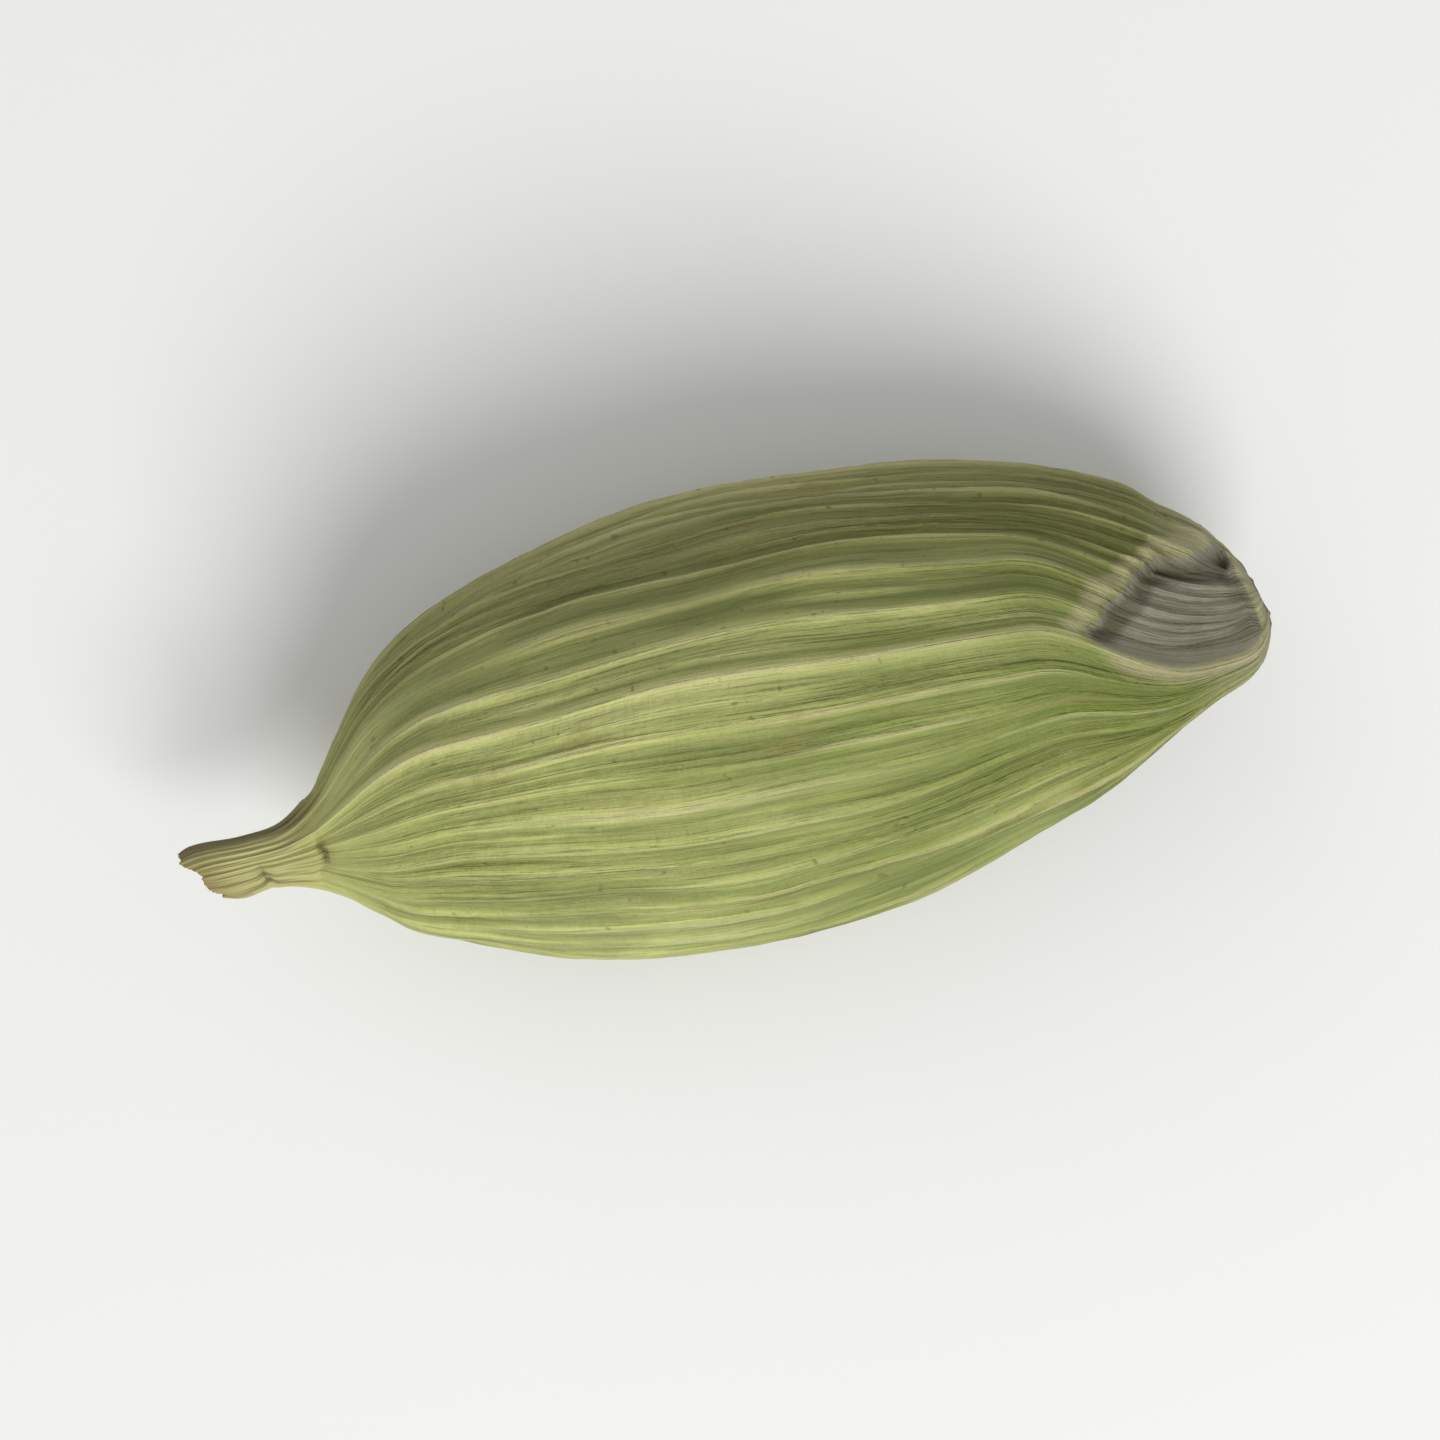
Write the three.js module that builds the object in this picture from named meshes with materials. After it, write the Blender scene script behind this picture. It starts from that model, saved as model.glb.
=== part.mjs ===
// A dried green cardamom pod: one closed, three-sided seed capsule that tapers to a broken stalk stub.
// It lies on one of its three faces with a keel upwards. X runs from the stalk to the blunt end, Z is up,
// and the origin is under the middle of the pod, on the surface that it rests on. Lengths are in millimetres.
import * as THREE from "three";
import { mergeVertices } from "three/addons/utils/BufferGeometryUtils.js";

const { degToRad, lerp, smoothstep } = THREE.MathUtils;

// Driving dimensions of the whole pod.
const LENGTH = 16.5;
const HALF_WIDTH = 3.23;
const AXIS_HEIGHT = 2.86; // above the surface, less than a face's depth, so that the belly has a flat spot
const STALK_OFFSET = 0.5; // the stalk leaves the body this far to one side of its axis

// The outline, as shares of LENGTH from the stalk tip and of HALF_WIDTH from the axis.
const STALK_CUP = [
  [0.04, 0], // the pith, sunk in the middle of the broken end
  [0.033, 0.066],
  [0.016, 0.094],
];
const SKIN = [
  [0.012, 0.118], // the rim of the broken end
  [0.026, 0.14],
  [0.062, 0.132], // the narrowest place of the stalk
  [0.107, 0.165],
  [0.156, 0.385], // the shoulder
  [0.223, 0.68],
  [0.35, 0.905],
  [0.517, 1], // the widest place
  [0.687, 0.915],
  [0.843, 0.71],
  [0.935, 0.472],
  [0.984, 0.3],
  [1, 0], // the middle of the blunt end
];
const STEPS_PER_SPAN = 4;

// Shares of LENGTH between which the body swells out of the stalk, and from which it closes to the blunt end.
const BODY_START = 0.08;
const BODY_FULL = 0.26;
const END_START = 0.9;

// The stalk stub is broken off on a slant, and the blunt end leans a little the other way.
const STALK_SLANT = degToRad(35);
const STALK_SHARE = 0.1; // of LENGTH, where the slant has faded out
const END_LEAN = degToRad(14);

// Three keels, with a bulging face between each two. The upper one is wound a little round the axis and turns
// aside just before the blunt end, and the belly is not wound.
const KEEL_RISE = 0.14; // of the radius, where the keels stand highest
const KEEL_SHARPNESS = 0.2;
const KEEL_AT_END = 0.6; // the share of the rise that is left at the blunt end
const KEEL_CORD = 0.05; // the raised line along each keel
const TWIST_AT_STALK = degToRad(16);
const TWIST_AT_END = degToRad(2);
const END_CURL = degToRad(-40);
const CURL_START = 0.78; // share of LENGTH

// Lengthwise ribs. Each has a column of vertices on its crest and one in the valley beside it.
const RIBS = 36;
const RIB_HEIGHT = 0.125; // of the strongest
const RIB_UNEVENNESS = 0.4;
const RIB_BEAT = 2.4; // radians in the wave of strengths from one rib to the next
const STALK_RIB_HEIGHT = 0.03;
const COLUMNS = RIBS * 2;

// A sunken three-cornered place beside the upper keel, widening from its apex to the blunt end.
const DENT_DEPTH = 0.34;
const DENT_APEX = 0.815; // shares of LENGTH
const DENT_FOOT = 0.993;
const DENT_SPREAD = 1; // width gained for each millimetre of length
const DENT_BREADTH = 1.3; // at most
const DENT_WALL = 0.3; // width of the slope round its floor

const HUSK_COLOUR = 0x7d8248;

function outlinePoints() {
  const toPoint = ([along, out]) => new THREE.Vector2(out * HALF_WIDTH, along * LENGTH);
  const cup = STALK_CUP.map(toPoint);
  const skin = new THREE.SplineCurve(SKIN.map(toPoint));
  return [...cup, ...skin.getPoints((SKIN.length - 1) * STEPS_PER_SPAN)];
}

// How far the body has swelled out of the stalk, from 0 on the stub to 1.
const bodyShare = (share) => smoothstep(share, BODY_START, BODY_FULL);

// How far the blunt end still is, from 0 at its middle to 1.
const endShare = (share) => 1 - smoothstep(share, END_START, 1);

// Relative rise of the three keels and fall of the faces between them.
function keelRise(turn, share) {
  const wave = (1 - KEEL_SHARPNESS) * Math.cos(3 * turn) + KEEL_SHARPNESS * Math.cos(6 * turn);
  return KEEL_RISE * bodyShare(share) * lerp(KEEL_AT_END, 1, endShare(share)) * wave;
}

// How far round the axis a column is wound.
function winding(turn, share) {
  const upperShare = (1 + Math.cos(turn)) / 2;
  const curl = END_CURL * smoothstep(share, CURL_START, 1);
  return upperShare * (lerp(TWIST_AT_STALK, TWIST_AT_END, share) + curl);
}

// Height of the rib, if any, that runs along a column.
function ribHeight(column, share) {
  if (column % 2) return 0;
  const rib = column / 2;
  const strength = 1 - RIB_UNEVENNESS + RIB_UNEVENNESS * Math.sin(RIB_BEAT * rib);
  const onKeel = rib % (RIBS / 3) === 0;
  const onBody = RIB_HEIGHT * strength + (onKeel ? KEEL_CORD : 0);
  return lerp(STALK_RIB_HEIGHT, onBody, bodyShare(share)) * endShare(share);
}

function dentDepth(along, turn, radius) {
  const fromKeel = -turn * radius;
  const width = Math.min(DENT_SPREAD * (along - DENT_APEX * LENGTH), DENT_BREADTH);
  const keelWall = smoothstep(fromKeel, 0, DENT_WALL);
  const farWall = smoothstep(width - fromKeel, 0, DENT_WALL);
  const footWall = smoothstep(DENT_FOOT * LENGTH - along, 0, DENT_WALL);
  return DENT_DEPTH * keelWall * farWall * footWall;
}

// A plain turned blank, whose vertices then take on the keels, ribs, dent, stalk and flat spot.
function podGeometry() {
  const outline = outlinePoints();
  const geometry = new THREE.LatheGeometry(outline, COLUMNS);
  const position = geometry.getAttribute("position");
  for (let column = 0; column <= COLUMNS; column++) {
    const place = column % COLUMNS;
    const turn = (place * 2 * Math.PI) / COLUMNS; // from the upper keel
    const shortTurn = turn > Math.PI ? turn - 2 * Math.PI : turn;
    outline.forEach(({ x: turned, y: along }, row) => {
      const share = along / LENGTH;
      const outside = row >= STALK_CUP.length && turned > 0;
      const relief = outside ? ribHeight(place, share) - dentDepth(along, shortTurn, turned) : 0;
      const radius = turned * (1 + keelRise(turn, share)) + relief;
      const angle = turn - winding(turn, share);
      const across = -radius * Math.sin(angle);
      const up = radius * Math.cos(angle);
      const stalkSlant = Math.tan(STALK_SLANT) * across * (1 - smoothstep(share, 0, STALK_SHARE));
      const endSlant = Math.tan(END_LEAN) * across * smoothstep(share, END_START, 1);
      const aside = -STALK_OFFSET * (1 - bodyShare(share));
      position.setXYZ(
        column * outline.length + row,
        along - stalkSlant - endSlant,
        across + aside,
        Math.max(0, AXIS_HEIGHT + up),
      );
    });
  }
  return closed(geometry);
}

// Merges the seam and the ends, and centres the pod over the origin.
function closed(geometry) {
  geometry.deleteAttribute("normal");
  geometry.deleteAttribute("uv");
  const merged = mergeVertices(geometry);
  merged.computeBoundingBox();
  const middle = merged.boundingBox.getCenter(new THREE.Vector3());
  merged.translate(-middle.x, -middle.y, 0);
  merged.computeVertexNormals();
  return merged;
}

const husk = new THREE.MeshStandardMaterial({ color: HUSK_COLOUR, roughness: 0.62, metalness: 0 });
const pod = new THREE.Mesh(podGeometry(), husk);
pod.name = "pod";

const cardamom = new THREE.Group();
cardamom.add(pod);

export default cardamom;
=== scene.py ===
import math
from types import SimpleNamespace

import bpy
import numpy as np
from mathutils import Matrix, Vector, noise


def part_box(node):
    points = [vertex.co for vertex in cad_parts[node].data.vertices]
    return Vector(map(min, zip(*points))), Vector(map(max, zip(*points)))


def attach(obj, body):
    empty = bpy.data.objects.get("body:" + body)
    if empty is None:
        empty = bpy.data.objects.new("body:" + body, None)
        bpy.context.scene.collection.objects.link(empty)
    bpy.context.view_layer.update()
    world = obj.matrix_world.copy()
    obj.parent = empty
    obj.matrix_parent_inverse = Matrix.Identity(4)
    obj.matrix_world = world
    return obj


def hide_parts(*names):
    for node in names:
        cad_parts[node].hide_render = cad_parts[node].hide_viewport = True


# A dried green cardamom pod lying on one of its three faces. Lengths are in millimetres until a mesh is
# finished, and shares of the pod's length run from the stalk tip, 0, to the blunt end, 1.
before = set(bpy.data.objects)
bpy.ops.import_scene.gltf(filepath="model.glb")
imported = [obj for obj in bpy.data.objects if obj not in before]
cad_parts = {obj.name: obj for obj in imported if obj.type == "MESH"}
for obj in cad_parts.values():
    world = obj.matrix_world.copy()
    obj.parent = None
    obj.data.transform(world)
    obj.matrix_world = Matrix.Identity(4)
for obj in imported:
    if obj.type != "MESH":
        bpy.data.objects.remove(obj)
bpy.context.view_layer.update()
pod_low, pod_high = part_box("pod")

MM = 0.001
POD_LENGTH, POD_WIDTH, POD_HEIGHT = (pod_high - pod_low) / MM
HALF_WIDTH = 0.467 * POD_WIDTH  # of the plain turned blank, before its keels and ribs
AXIS_HEIGHT = 0.43 * POD_HEIGHT  # a little less than a face's depth, so that the belly has a flat spot

# The outline of the blank: share of the length, and share of the half width.
BROKEN_END = [(0.04, 0), (0.034, 0.06), (0.017, 0.096)]
STALK_RIM = (0.011, 0.118)
SKIN = [
    (0.024, 0.138),
    (0.062, 0.13),
    (0.1, 0.155),
    (0.13, 0.245),
    (0.16, 0.405),
    (0.19, 0.565),
    (0.228, 0.69),
    (0.285, 0.808),
    (0.352, 0.903),
    (0.43, 0.975),
    (0.517, 1),
    (0.6, 0.985),
    (0.69, 0.919),
    (0.77, 0.826),
    (0.84, 0.714),
    (0.89, 0.598),
    (0.935, 0.472),
    (0.982, 0.32),
]
BLUNT_TIP = (1, 0)
TIP_ROUNDNESS = 0.6
STALK_RADIUS = STALK_RIM[1] * HALF_WIDTH
RIM_SLACK = 0.999  # share of the rim's radius past which a vertex counts as outside the broken end
ROWS_PER_SPAN = 9
COLUMNS = 432
MERGE_DISTANCE = 1e-4

# Where the body swells out of the stalk, where the stalk's colour ends, and where the pod starts to close.
BODY_START, BODY_FULL = 0.08, 0.26
STALK_END = 0.16
END_START = 0.9

# Three keels. The upper one is wound a little round the axis and turns aside just before the blunt end, and
# the belly is not wound.
KEEL_RISE = 0.14  # share of the radius
KEEL_SHARPNESS = 0.2
KEEL_AT_END = 0.6
TWIST_AT_STALK, TWIST_AT_END = math.radians(16), math.radians(2)
END_CURL, CURL_START = math.radians(-40), 0.78

# Lengthwise ribs, finer veins halfway between them, and the skin that sags in the gaps.
RIBS = 36
RIB_HEIGHT = 0.125
RIB_WIDTH = 0.13  # share of the spacing
VEIN_HEIGHT = 0.05
VEIN_WIDTH = 0.09
VEIN_PALENESS = 0.6  # share of a rib's
KEEL_CORD = 0.055
STALK_RIB_HEIGHT = 0.03
GAP_SAG = 0.07
CROWDING = 0.5  # how much closer the columns of vertices stand on the crests
RIB_SPREAD = ((4, 0.035, 0.4), (7, 0.024, 2.1), (13, 0.011, 5.0))  # waves round the pod, radians, start
RIB_MEANDER = ((9, 3, 0.016), (23, 8, 0.008))  # waves along, waves round, radians
RELIEF_FADE = 0.6  # distance from the axis within which the relief fades out

# How strong ribs, veins and sags are along their length: the mean and swing, the waves along the pod, the
# lot of noise, and the least and most.
RIB_STRENGTH = (0.7, 0.65, 5.5, 0.37, 0.2, 1.2)
VEIN_STRENGTH = (0.5, 0.9, 7, 3.37, 0, 1)
SAG_STRENGTH = (0.4, 0.9, 6, 5.71, 0, 1)
LINE_STEP = 7.31  # from one line to the next in the noise, so that each has a run of its own

# Lumps and wrinkles of the dry skin: length, width and height.
SKIN_LUMPS = (
    (2.6, 2.4, 0.12),  # seeds that show through
    (1.9, 0.85, 0.024),
    (0.8, 0.36, 0.012),
    (0.3, 1.1, 0.012),  # crinkles across the ribs
)
LUMP_STEP = 11  # from one lot to the next in the noise

# The stalk stub, broken off on a slant to one side of the body's axis. The blunt end leans the other way.
STALK_SLANT = math.radians(35)
SLANT_SHARE = 0.1
END_LEAN = math.radians(14)
STALK_OFFSET = 0.5
TEAR_REACH = 0.11
TEAR_SHARE = 0.035
TEARS = ((0.5, 1, 9), (0.16, 0.4, 3), (0.07, 0.3, 6))  # size on a ring of radius 1, strength, lot of noise

# Pleats where the skin is gathered into the stalk and the blunt end, one for each two ribs.
PLEATS = RIBS // 2
PLEAT_DEPTH = 0.06
PLEAT_MEAN, PLEAT_SWING, PLEAT_SWING_SIZE = 0.7, 0.5, 0.8
PLEATS_AT_NECK = (0.075, 0.12)
PLEATS_PAST_NECK = (0.15, 0.28)
PLEATS_AT_END = (0.9, 0.97)
PLEATS_ROUND_SCAR = (0.3, 0.7)  # radii between which they set in

# Sharp creases across the neck: share of the length, degrees round it, strength.
CREASES = ((0.127, 25, 1), (0.067, 50, 0.9), (0.121, 58, 0.4), (0.127, -75, 0.7), (0.125, 150, 0.8))
CREASE_HALF_LENGTH, CREASE_HALF_WIDTH = 0.1, 0.28
CREASE_WANDER = (0.3, 0.8)  # size of the turns, and how far they stray, in half lengths
CREASE_DEPTH = 0.17
CREASE_BROWN = 0.62

# The sunken three-cornered place beside the upper keel, widening from its apex to the blunt end.
DENT_APEX, DENT_END = 0.824, 0.993
DENT_SPREAD = 1.0  # mm of width gained for each mm of length
DENT_BREADTH = 1.5  # at most
DENT_SHADE = 0.4  # width of the strip of painted shade along its far side
DENT_DEPTH = 0.32
DENT_KEEL_WALL, DENT_WALL = (0.02, 0.12), (0, 0.2)  # where each wall starts and ends, from the edge inwards
DENT_WANDER = (0.6, 0.14)  # size of the turns in its edge, and how far they stray
DENT_WRINKLES = (0.34, 0.035)  # size and height
LIP_HALF_WIDTH, LIP_HEIGHT = 0.17, 0.05  # of the dry edge round it
LIP_FROM_EDGE, LIP_FROM_KEEL = 1, 0.6  # half widths from the far edge and from the keel to its middle

# The scar of the flower at the blunt end. Each edge is where a part of it starts to fade and is gone, in
# shares of its radius.
SCAR_SHARES = (0.96, 0.985)
SCAR_RADIUS = 0.4
SCAR_RIM, SCAR_RIM_WIDTH = 0.04, 0.28  # height, and share of the radius
SCAR_RIM_WAVES = (0.5, 7, 3)  # how uneven, and waves round
SCAR_DEPTH, SCAR_PIT_EDGE = 0.14, (0.5, 0.95)
SCAR_NUB, SCAR_NUB_EDGE = 0.12, (0.1, 0.55)  # the withered flower's remains in its middle
SCAR_CRUMBS, SCAR_CRUMB_EDGE = (0.13, 0.04), (0.9, 1.4)  # size and height
SCAR_BROWN_EDGE = (0.8, 1.5)
SCAR_WANDER = (0.3, 0.35)  # size of the turns in its edge, and the share of the radius that they stray


def smoothstep(value, start, end):
    step = np.clip((value - start) / (end - start), 0, 1)
    return step * step * (3 - 2 * step)


def fade(value, start, end):
    return 1 - smoothstep(value, start, end)


def peak(off, width):
    """1 at its sharp crest, with hollow flanks."""
    return 1 / (1 + (off / width) ** 2)


def bulge(off):
    """1 at its round crest, and next to nothing two widths away."""
    return np.exp(-(off**2))


def noise_at(places, size, lot=0):
    """Smooth noise from -1 to 1 at each place, in lumps of that size. Each lot is a stretch of its own."""
    return np.array([noise.noise(place) for place in ((places + lot) / size).tolist()])


def deselect_all():
    bpy.ops.object.select_all(action="DESELECT")


def turned_blank(name):
    """Turns the outline, drawn as a curve from the pith to the blunt end, about the pod's axis, along X."""
    deselect_all()
    bpy.ops.curve.primitive_bezier_curve_add()
    outline = bpy.context.object
    outline.name = name
    outline.data.resolution_u = ROWS_PER_SPAN
    knots = outline.data.splines[0].bezier_points
    places = [*BROKEN_END, STALK_RIM, *SKIN, BLUNT_TIP]
    knots.add(len(places) - len(knots))
    for knot, (along, out) in zip(knots, places):
        knot.co = (along * POD_LENGTH, out * HALF_WIDTH, 0)
        knot.handle_left_type = knot.handle_right_type = "AUTO"
    rim = knots[len(BROKEN_END)]
    rim.handle_left_type = rim.handle_right_type = "VECTOR"
    tip = knots[-1]
    tip.handle_left_type = "FREE"
    tip.handle_left = (POD_LENGTH, TIP_ROUNDNESS * SKIN[-1][1] * HALF_WIDTH, 0)
    bpy.ops.object.convert(target="MESH")
    blank = bpy.context.object
    keep_reach(blank)
    turning = blank.modifiers.new("turning", "SCREW")
    turning.axis = "X"
    turning.steps = turning.render_steps = COLUMNS
    turning.use_merge_vertices, turning.merge_threshold = True, MERGE_DISTANCE
    bpy.ops.object.modifier_apply(modifier="turning")
    bpy.ops.object.mode_set(mode="EDIT")
    bpy.ops.mesh.select_all(action="SELECT")
    bpy.ops.mesh.remove_doubles(threshold=MERGE_DISTANCE)
    bpy.ops.mesh.normals_make_consistent(inside=False)
    bpy.ops.object.mode_set(mode="OBJECT")
    return blank


def vertex_places(piece):
    places = np.empty(len(piece.data.vertices) * 3, np.float32)
    piece.data.vertices.foreach_get("co", places)
    return places.reshape(-1, 3).astype(float)


def set_vertex_places(piece, places):
    piece.data.vertices.foreach_set("co", places.astype(np.float32).ravel())
    piece.data.update()


def keep_attribute(piece, name, values):
    """Keeps a number, or a place, for each vertex, for the material to read."""
    kind, field = ("FLOAT", "value") if values.ndim == 1 else ("FLOAT_VECTOR", "vector")
    attribute = piece.data.attributes.new(name, kind, "POINT")
    attribute.data.foreach_set(field, values.astype(np.float32).ravel())


def keep_reach(outline):
    """Keeps how far along the outline each of its points is from the pith."""
    steps = np.linalg.norm(np.diff(vertex_places(outline), axis=0), axis=1)
    keep_attribute(outline, "reach", np.concatenate([[0], np.cumsum(steps)]))


def rolled_up(reach, turn, radius):
    """Places on a plain roll of that radius, on which the skin's fibres run straight along."""
    return np.stack([reach, radius * np.sin(turn), radius * np.cos(turn)], 1)


def blank_skin(piece):
    """Reads off the turned blank what the sculpting needs to know of each vertex."""
    places = vertex_places(piece)
    along, across, up = places.T
    skin = SimpleNamespace(places=places, along=along, share=along / POD_LENGTH)
    skin.radius = np.hypot(across, up)
    skin.turn = np.arctan2(-across, up)  # from the upper keel
    skin.reach = np.empty(len(places), np.float32)
    piece.data.attributes["reach"].data.foreach_get("value", skin.reach)
    skin.grain = rolled_up(skin.reach, skin.turn, HALF_WIDTH)
    skin.outside = (skin.radius > RIM_SLACK * STALK_RADIUS) | (skin.share > SKIN[1][0])
    skin.body = smoothstep(skin.share, BODY_START, BODY_FULL)
    skin.before_end = fade(skin.share, END_START, 1)
    return skin


def keel_wave(skin):
    """1 along the three keels, falling to the middle of the faces between them."""
    return (1 - KEEL_SHARPNESS) * np.cos(3 * skin.turn) + KEEL_SHARPNESS * np.cos(6 * skin.turn)


def strength_along(line, skin, mean, swing, waves, lot, least, most):
    """How strong each rib, vein or sag is along its length."""
    run = noise_at(np.stack([LINE_STEP * line + lot, waves * skin.share, 0 * line], 1), 1)
    return np.clip(mean + swing * run, least, most)


def rib_relief(skin):
    """The ribs, veins and sags: their height, how near a crest is, and where each column has moved to."""
    phase = skin.turn * RIBS / math.tau
    rib, gap = np.round(phase), np.floor(phase)
    off = phase - rib
    off -= CROWDING * np.sin(2 * math.tau * off) / (2 * math.tau)
    turn = (rib + off) * math.tau / RIBS
    rib, gap = rib % RIBS, gap % RIBS
    crest = strength_along(rib, skin, *RIB_STRENGTH) * peak(off, RIB_WIDTH)
    vein = strength_along(gap, skin, *VEIN_STRENGTH) * peak(np.abs(off) - 0.5, VEIN_WIDTH)
    sag = strength_along(gap, skin, *SAG_STRENGTH) * np.sin(math.pi * off) ** 2
    on_keel = rib % (RIBS // 3) == 0
    on_body = crest * (RIB_HEIGHT + KEEL_CORD * on_keel) + VEIN_HEIGHT * vein - GAP_SAG * sag
    height = (STALK_RIB_HEIGHT * crest * (1 - skin.body) + on_body * skin.body) * skin.before_end
    for waves, swing, start in RIB_SPREAD:
        turn = turn + swing * np.sin(waves * skin.turn + start)
    for waves_along, waves_round, swing in RIB_MEANDER:
        turn = turn + swing * np.sin(waves_along * skin.share + waves_round * skin.turn) * skin.body
    return SimpleNamespace(height=height, crest=np.maximum(crest, VEIN_PALENESS * vein), turn=turn)


def lumps_and_wrinkles(skin):
    relief = np.zeros(len(skin.places))
    for lot, (length, width, height) in enumerate(SKIN_LUMPS):
        relief += height * noise_at(skin.grain / (length, width, width), 1, LUMP_STEP * lot)
    return relief * skin.body


def gathered_pleats(skin):
    at_neck = smoothstep(skin.share, *PLEATS_AT_NECK) * fade(skin.share, *PLEATS_PAST_NECK)
    at_end = smoothstep(skin.share, *PLEATS_AT_END) * smoothstep(skin.radius, *PLEATS_ROUND_SCAR)
    uneven = PLEAT_MEAN + PLEAT_SWING * noise_at(skin.places, PLEAT_SWING_SIZE, lot=5)
    return PLEAT_DEPTH * (at_neck + at_end) * uneven * np.cos(PLEATS * skin.turn)


def neck_creases(skin):
    """From 0 away from the creases to 1 in the deepest."""
    size, stray = CREASE_WANDER
    crooked = stray * noise_at(skin.places, size, lot=41)
    depth = np.zeros(len(skin.places))
    for place, degrees, strength in CREASES:
        along = (skin.share - place) * POD_LENGTH / CREASE_HALF_LENGTH + crooked
        across = (skin.turn - math.radians(degrees)) * skin.radius / CREASE_HALF_WIDTH
        depth += strength * bulge(along) * bulge(across)
    return depth


def sunken_dent(skin):
    """From 0 off the dent to 1 on its floor, and the same for its painted shade and the dry lip round it."""
    size, most = DENT_WANDER
    stray = most * noise_at(skin.places, size, lot=17)
    arc = -skin.turn * skin.radius  # round the skin from the upper keel, on the dent's side
    width = np.minimum(DENT_SPREAD * (skin.along - DENT_APEX * POD_LENGTH), DENT_BREADTH)
    to_far_side = width - arc + stray
    before_end = smoothstep(DENT_END * POD_LENGTH - skin.along + stray / 2, *DENT_WALL)
    before_keel = smoothstep(arc, *DENT_KEEL_WALL) * before_end
    beside_keel = smoothstep(width, 0, DENT_BREADTH / 2) * before_end
    floor = smoothstep(to_far_side, *DENT_WALL) * before_keel
    dark = floor * fade(to_far_side, DENT_WALL[1], DENT_WALL[1] + DENT_SHADE)
    far_lip = bulge(to_far_side / LIP_HALF_WIDTH + LIP_FROM_EDGE) * before_keel
    keel_lip = bulge(arc / LIP_HALF_WIDTH + LIP_FROM_KEEL) * beside_keel
    return SimpleNamespace(floor=floor, dark=dark, lip=np.maximum(far_lip, keel_lip))


def dent_relief(skin, dent):
    size, height = DENT_WRINKLES
    floor = height * noise_at(skin.places, size, lot=23) - DENT_DEPTH
    return floor * dent.floor + LIP_HEIGHT * dent.lip


def flower_scar(skin):
    """How far the flower's scar stands out at the blunt end, and how brown it is."""
    there = smoothstep(skin.share, *SCAR_SHARES)
    size, stray = SCAR_WANDER
    out = skin.radius / SCAR_RADIUS * (1 + stray * noise_at(skin.places, size, lot=51))
    swing, waves, slow_waves = SCAR_RIM_WAVES
    uneven = 1 + swing * np.sin(waves * skin.turn) * np.sin(slow_waves * skin.turn + 1)
    size, height = SCAR_CRUMBS
    reach = SCAR_RIM * uneven * bulge((out - 1) / SCAR_RIM_WIDTH)
    reach += SCAR_NUB * fade(out, *SCAR_NUB_EDGE) - SCAR_DEPTH * fade(out, *SCAR_PIT_EDGE)
    reach += height * noise_at(skin.places, size, lot=31) * fade(out, *SCAR_CRUMB_EDGE)
    return SimpleNamespace(reach=reach * there, brown=fade(out, *SCAR_BROWN_EDGE) * there)


def torn_rim(skin):
    """How far the stalk's broken rim is torn out, or in where it is below 0."""
    ring = np.stack([np.cos(skin.turn), np.sin(skin.turn), 0 * skin.turn], 1)
    torn = sum(strength * noise_at(ring, size, lot) for size, strength, lot in TEARS)
    return TEAR_REACH * torn * fade(skin.share, 0, TEAR_SHARE)


def winding(skin):
    """How far round the axis the skin is wound."""
    twist = TWIST_AT_STALK + (TWIST_AT_END - TWIST_AT_STALK) * skin.share
    curl = END_CURL * smoothstep(skin.share, CURL_START, 1)
    return (twist + curl) * (1 + np.cos(skin.turn)) / 2


def sculpt_husk(piece):
    """Raises the keels, ribs, lumps and pleats on the turned blank, and sinks the dent and the creases."""
    skin = blank_skin(piece)
    wave = keel_wave(skin)
    ribs = rib_relief(skin)
    dent = sunken_dent(skin)
    crease = neck_creases(skin)
    scar = flower_scar(skin)

    keel = KEEL_RISE * wave * skin.body * (KEEL_AT_END + (1 - KEEL_AT_END) * skin.before_end)
    relief = ribs.height + lumps_and_wrinkles(skin) + gathered_pleats(skin)
    relief += dent_relief(skin, dent) - CREASE_DEPTH * crease
    relief *= smoothstep(skin.radius, 0, RELIEF_FADE)
    shaped = skin.radius + (skin.radius * keel + relief) * skin.outside
    angle = ribs.turn - winding(skin)
    side, up = -shaped * np.sin(angle), shaped * np.cos(angle)
    slant = math.tan(STALK_SLANT) * side * fade(skin.share, 0, SLANT_SHARE)
    slant += math.tan(END_LEAN) * side * smoothstep(skin.share, END_START, 1)
    fit_to_pod(piece, np.stack([
        skin.along + scar.reach - slant - torn_rim(skin),
        side - STALK_OFFSET * (1 - skin.body),
        np.maximum(0, AXIS_HEIGHT + up),
    ], 1))

    keep_attribute(piece, "grain", skin.grain)
    keep_attribute(piece, "stalk_grain", rolled_up(skin.reach, skin.turn, STALK_RADIUS))
    keep_attribute(piece, "scar_grain", skin.places)
    keep_attribute(piece, "along", skin.along)
    keep_attribute(piece, "side", skin.places[:, 1])
    keep_attribute(piece, "crest", np.clip(ribs.crest, 0, 1) * skin.outside)
    keep_attribute(piece, "keel", np.clip(wave, 0, 1) ** 2 * skin.body * skin.before_end)
    keep_attribute(piece, "body", skin.body)
    keep_attribute(piece, "stalk", fade(skin.share, BODY_START, STALK_END))
    keep_attribute(piece, "dent", dent.floor)
    keep_attribute(piece, "dent_shade", dent.dark)
    keep_attribute(piece, "dent_lip", dent.lip)
    keep_attribute(piece, "brown", np.maximum(scar.brown, CREASE_BROWN * crease))
    keep_attribute(piece, "cup", 1.0 - skin.outside)
    unroll(piece, skin)


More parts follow.
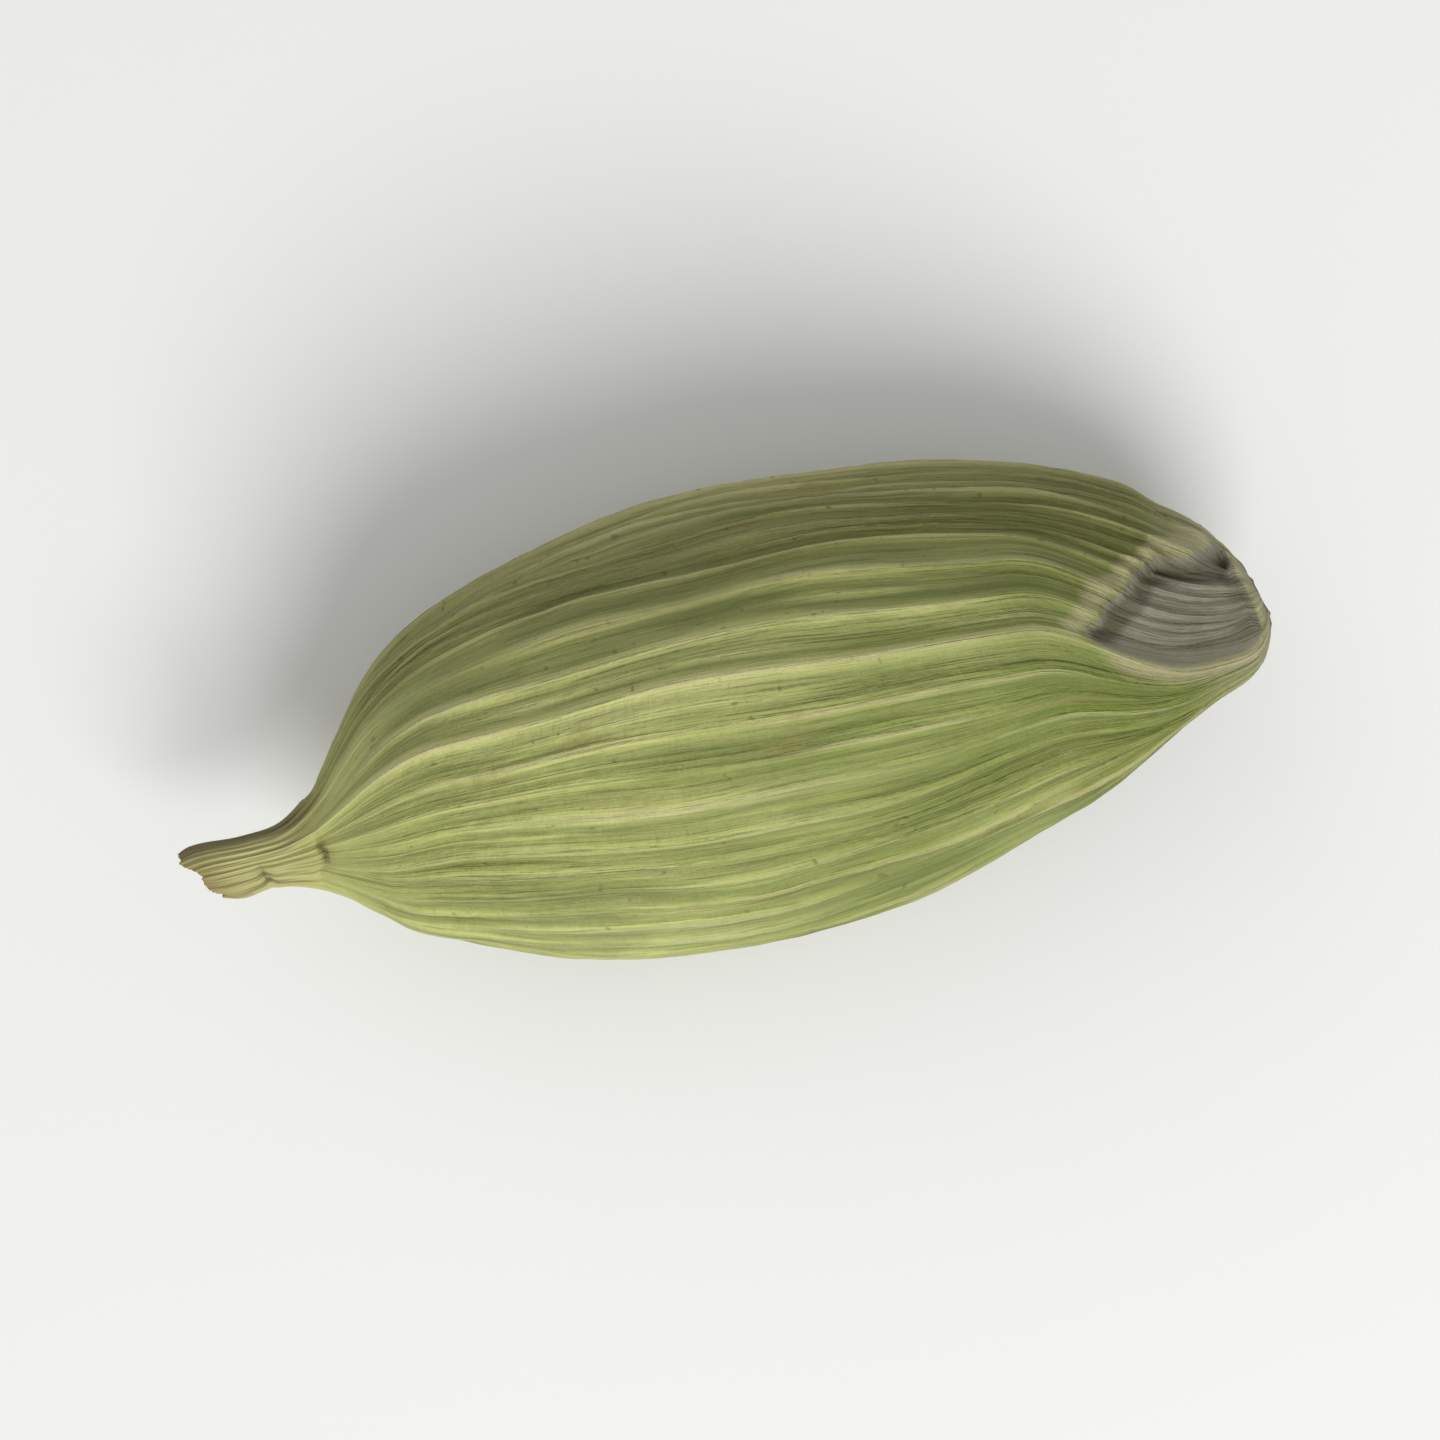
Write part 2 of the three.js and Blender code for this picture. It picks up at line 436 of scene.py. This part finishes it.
def fit_to_pod(piece, places):
    """Moves the shape, in millimetres, into the solid pod's own box, in metres."""
    low, high = places.min(0), places.max(0)
    to_low, to_high = np.array(pod_low), np.array(pod_high)
    set_vertex_places(piece, to_low + (places - low) / (high - low) * (to_high - to_low))


def unroll(piece, skin):
    """Lays the skin out on a flat map, cut open along the belly, with the pith and the tip at its sides."""
    mesh = piece.data
    corner_vertex, face_start, face_corners = (
        np.empty(len(items), np.int32) for items in (mesh.loops, mesh.polygons, mesh.polygons)
    )
    mesh.loops.foreach_get("vertex_index", corner_vertex)
    mesh.polygons.foreach_get("loop_start", face_start)
    mesh.polygons.foreach_get("loop_total", face_corners)
    face = np.repeat(np.arange(len(face_start)), face_corners)

    on_axis = skin.radius[corner_vertex] < MERGE_DISTANCE
    turn = np.where(on_axis, 0, skin.turn[corner_vertex] / math.tau + 0.5)
    turn += (np.maximum.reduceat(turn, face_start)[face] - turn > 0.5) & ~on_axis
    around = np.add.reduceat(turn, face_start) / np.add.reduceat(1.0 - on_axis, face_start)
    turn = np.where(on_axis, around[face], turn)
    reach = skin.reach[corner_vertex] / skin.reach.max()
    places = np.stack([reach, turn * COLUMNS / (COLUMNS + 1)], 1)
    flat = mesh.uv_layers.new(name="OFBake")
    flat.uv.foreach_set("vector", places.astype(np.float32).ravel())


# What the material reads of the sculpted skin. Along and side are in mm, and the others run from 0 to 1.
HUSK_ZONES = (
    "along", "side", "crest", "keel", "body", "stalk", "dent", "dent_shade", "dent_lip", "brown", "cup",
)

# Noise patterns of the husk: the length and width of a lump in mm, its finer octaves and their strength.
# The fibres are drawn a little coarser than real ones, so that they show.
HUSK_PATTERNS = {
    "patches": (5, 2.4, 3, 0.5),
    "streaks": (4.5, 0.3, 4, 0.62),
    "lines": (6, 0.13, 3, 0.5),
    "fibres": (2.2, 0.05, 3, 0.55),
    "mottles": (0.9, 0.5, 3, 0.6),
    "pores": (0.3, 0.1, 3, 0.6),
    "crinkles": (0.25, 0.33, 3, 0.6),
    "blotches": (1.6, 1.1, 3, 0.55),
    "specks": (0.2, 0.14, 1, 0.5),
}
STALK_PATTERNS = {"stalk_fibres": (2.2, 0.05, 3, 0.55)}
SCAR_PATTERNS = {"crumbs": (0.12, 0.12, 3, 0.6)}

# The husk is paler and yellower towards the stalk and greener towards the blunt end. The patches move the
# border between the two along the pod by up to the wander, in mm.
PALE_GREEN, DEEP_GREEN = "#c2c878", "#7d8c38"
GREEN_WANDER = 16.0
GREEN_START, GREEN_FULL = 14.0, 20.5

# Tints laid over the husk one after the other: what shows the tint, from where to where, how strongly, only
# where, and its colour.
HUSK_TINTS = (
    ("side", -0.5, 2.4, 0.6, None, "#928759"),  # the upper face, away from the key light: browner, and darker as painted shade
    ("streaks", 0.5, 0.68, 0.5, "body", "#b5b069"),
    ("streaks", 0.5, 0.3, 0.5, "body", "#636c2e"),
    ("mottles", 0.56, 0.72, 0.25, "body", "#7b7c40"),
    ("lines", 0.47, 0.34, 0.4, "body", "#5d6631"),
    ("lines", 0.55, 0.68, 0.35, "body", "#b9b67c"),
    ("fibres", 0.47, 0.37, 0.4, None, "#59602f"),
    ("fibres", 0.55, 0.66, 0.4, None, "#b6b17a"),
    ("pores", 0.42, 0.34, 0.08, "body", "#5f6433"),
    ("crest", 0.5, 0.04, 0.55, "body", "#677032"),  # painted shade and some dust in the gaps between the ribs
    ("crest", 0.4, 0.95, 0.6, None, "#c4bf8a"),  # dry straw along the crests
    ("keel", 0.5, 1.0, 0.4, "crest", "#c9c290"),
    ("blotches", 0.6, 0.74, 0.4, "body", "#8f8149"),  # faded, browner places
    ("specks", 0.7, 0.78, 0.5, "body", "#5e4f2c"),
    ("along", 14.9, 16.5, 0.7, None, "#c3be93"),  # the worn blunt end
    ("stalk", 0.0, 1.0, 0.6, None, "#b0a86f"),
    ("crest", 0.2, 0.8, 0.6, "stalk", "#cdc694"),
    ("stalk_fibres", 0.52, 0.36, 0.75, "stalk", "#6b5b33"),
    ("stalk_fibres", 0.56, 0.68, 0.5, "stalk", "#d2ca9a"),
    ("side", 0.0, 0.4, 0.75, "stalk", "#544a39"),  # painted shade on the stalk's side away from the key light
    ("along", 1.0, 0.1, 0.6, "stalk", "#8b774a"),  # browner towards the break
    ("dent_lip", 0.1, 0.9, 0.6, None, "#b3a984"),
    ("dent", 0.02, 0.25, 0.88, None, "#8b8574"),  # withered skin
    ("mottles", 0.4, 0.62, 0.45, "dent", "#a59f8c"),
    ("streaks", 0.5, 0.34, 0.4, "dent", "#6a6350"),
    # painted shade on the dent's floor beside its far wall
    ("dent_shade", 0.1, 0.8, 0.75, None, "#59543c"),
    ("brown", 0.15, 0.8, 0.9, None, "#58462a"),
    ("crumbs", 0.5, 0.66, 0.8, "brown", "#9c8657"),
    ("crumbs", 0.45, 0.33, 0.8, "brown", "#33291a"),
    ("cup", 0.0, 1.0, 1.0, None, "#463619"),
    ("stalk_fibres", 0.4, 0.65, 0.9, "cup", "#806a3c"),
)

# How high each pattern stands on the husk, in mm, and only where.
HUSK_BUMPS = (
    ("lines", 0.12, "body"),
    ("fibres", 0.07, "body"),
    ("pores", 0.04, "body"),
    ("crinkles", 0.06, "body"),
    ("stalk_fibres", 0.08, "stalk"),
    ("crumbs", 0.08, "brown"),
)

# The range of the pores, and the roughness that it gives.
PORES = (0.25, 0.75)
HUSK_ROUGHNESS = (0.45, 0.68)
HUSK_SPECULAR = 0.4


def linear(hex_colour):
    """An sRGB hex colour as the linear colour that a shader takes."""
    parts = [int(hex_colour[i : i + 2], 16) / 255 for i in (1, 3, 5)]
    return (*[part / 12.92 if part <= 0.04045 else ((part + 0.055) / 1.055) ** 2.4 for part in parts], 1)


def add_node(tree, kind, settings=None, **inputs):
    """Adds a node with its settings. An input, named or numbered, is a value or another node's output."""
    node = tree.nodes.new(kind)
    for name, value in (settings or {}).items():
        setattr(node, name, value)
    for name, value in inputs.items():
        socket = node.inputs[int(name[1:]) if name[1:].isdigit() else name.replace("_", " ")]
        if isinstance(value, bpy.types.NodeSocket):
            tree.links.new(value, socket)
        else:
            socket.default_value = value
    return node


def new_material(name):
    material = bpy.data.materials.new(name)
    material.use_nodes = True
    return material, material.node_tree, material.node_tree.nodes["Principled BSDF"]


def dried_husk():
    """The dry, fibrous skin of a seed capsule: satin olive green, straw on worn ribs, brown at the stalk."""
    material, tree, shader = new_material("dried_husk")
    reads = {}
    for name in HUSK_ZONES:
        reads[name] = add_node(tree, "ShaderNodeAttribute", {"attribute_name": name}).outputs["Fac"]
    rolls = (("stalk_grain", STALK_PATTERNS), ("scar_grain", SCAR_PATTERNS), ("grain", HUSK_PATTERNS))
    for roll, patterns in rolls:
        grain = add_node(tree, "ShaderNodeAttribute", {"attribute_name": roll}).outputs["Vector"]
        for name, (length, width, octaves, strength) in patterns.items():
            scaled = add_node(
                tree, "ShaderNodeMapping", Vector=grain, Scale=(1 / length, 1 / width, 1 / width)
            ).outputs[0]
            reads[name] = add_node(
                tree, "ShaderNodeTexNoise", Vector=scaled, Scale=1.0, Detail=octaves, Roughness=strength
            ).outputs[0]

    wander = add_node(
        tree, "ShaderNodeMath", {"operation": "MULTIPLY_ADD"},
        i0=reads["patches"], i1=GREEN_WANDER, i2=reads["along"],
    ).outputs[0]
    greener = add_node(
        tree, "ShaderNodeMapRange", Value=wander, From_Min=GREEN_START, From_Max=GREEN_FULL
    ).outputs[0]
    colour = add_node(
        tree, "ShaderNodeMix", {"data_type": "RGBA"},
        i0=greener, i6=linear(PALE_GREEN), i7=linear(DEEP_GREEN),
    ).outputs[2]
    for name, start, end, strength, where, tint in HUSK_TINTS:
        share = add_node(
            tree, "ShaderNodeMapRange", {"interpolation_type": "SMOOTHSTEP"},
            Value=reads[name], From_Min=start, From_Max=end, To_Max=strength,
        ).outputs[0]
        if where:
            share = add_node(
                tree, "ShaderNodeMath", {"operation": "MULTIPLY"}, i0=share, i1=reads[where]
            ).outputs[0]
        colour = add_node(
            tree, "ShaderNodeMix", {"data_type": "RGBA"}, i0=share, i6=colour, i7=linear(tint)
        ).outputs[2]
    tree.links.new(colour, shader.inputs["Base Color"])

    rough = add_node(
        tree, "ShaderNodeMapRange", Value=reads["pores"], From_Min=PORES[0], From_Max=PORES[1],
        To_Min=HUSK_ROUGHNESS[0], To_Max=HUSK_ROUGHNESS[1],
    ).outputs[0]
    tree.links.new(rough, shader.inputs["Roughness"])
    shader.inputs["Specular IOR Level"].default_value = HUSK_SPECULAR

    height = 0.0
    for name, tall, where in HUSK_BUMPS:
        there = add_node(
            tree, "ShaderNodeMath", {"operation": "MULTIPLY"}, i0=reads[where], i1=tall
        ).outputs[0]
        height = add_node(
            tree, "ShaderNodeMath", {"operation": "MULTIPLY_ADD"}, i0=reads[name], i1=there, i2=height
        ).outputs[0]
    bump = add_node(tree, "ShaderNodeBump", Height=height, Distance=MM, Strength=1.0).outputs[0]
    tree.links.new(bump, shader.inputs["Normal"])
    return material


def pale_paper():
    """Uncoated paper: pale and without gloss, so that it shows little but the pod's soft shadow."""
    material, _, shader = new_material("pale_paper")
    shader.inputs["Base Color"].default_value = linear("#efefee")
    shader.inputs["Roughness"].default_value = 0.9
    return material


def finish_piece(piece, material):
    """Smooths a piece, gives it its material and sets it on the pod's body."""
    deselect_all()
    piece.select_set(True)
    bpy.context.view_layer.objects.active = piece
    bpy.ops.object.shade_smooth()
    piece.data.materials.append(material)
    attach(piece, "root")


# The picture, in metres. The camera looks straight down, and the pod leans in it as in the photograph.
PICTURE_LEAN = math.radians(13.4)
POD_SHARE_OF_PICTURE = 0.78
LENS, SENSOR = 150, 36
NEAREST, FARTHEST = 0.005, 10
FLOOR_SIZE = 1.2

# Soft lights: right, up and height in the picture, size, and power in watts.
SOFT_LIGHTS = {
    "key": (0.06, -0.13, 0.16, 0.13, 0.325),
    "fill": (-0.12, 0.14, 0.16, 0.24, 0.06),
}
ROOM_COLOUR, ROOM_STRENGTH = "#eeeeee", 0.55


def studio_floor():
    deselect_all()
    bpy.ops.mesh.primitive_plane_add(size=FLOOR_SIZE)
    floor = bpy.context.object
    floor.name = "floor"
    floor.data.materials.append(pale_paper())


def add_to_scene(name, data):
    thing = bpy.data.objects.new(name, data)
    bpy.context.scene.collection.objects.link(thing)
    return thing


def studio_camera():
    view = bpy.data.cameras.new("camera")
    view.lens, view.sensor_width = LENS, SENSOR
    view.clip_start, view.clip_end = NEAREST, FARTHEST
    camera = add_to_scene("camera", view)
    field = POD_LENGTH * MM / POD_SHARE_OF_PICTURE
    camera.location = (0, 0, POD_HEIGHT * MM / 2 + field * LENS / SENSOR)
    camera.rotation_euler = (0, 0, -PICTURE_LEAN)
    bpy.context.scene.camera = camera


def studio_light():
    leaning = Matrix.Rotation(-PICTURE_LEAN, 3, "Z")
    for name, (right, up, height, size, power) in SOFT_LIGHTS.items():
        lamp = bpy.data.lights.new(name, "AREA")
        lamp.shape, lamp.size, lamp.energy = "DISK", size, power
        light = add_to_scene(name, lamp)
        light.location = leaning @ Vector((right, up, height))
        light.rotation_euler = (-light.location).to_track_quat("-Z", "Y").to_euler()
    room = bpy.data.worlds.new("studio")
    room.use_nodes = True
    glow = room.node_tree.nodes["Background"]
    glow.inputs["Color"].default_value = linear(ROOM_COLOUR)
    glow.inputs["Strength"].default_value = ROOM_STRENGTH
    bpy.context.scene.world = room
    bpy.context.scene.view_settings.view_transform = "Standard"


husk = turned_blank("husk")
sculpt_husk(husk)
finish_piece(husk, dried_husk())
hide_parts("pod")

studio_floor()
studio_light()
studio_camera()
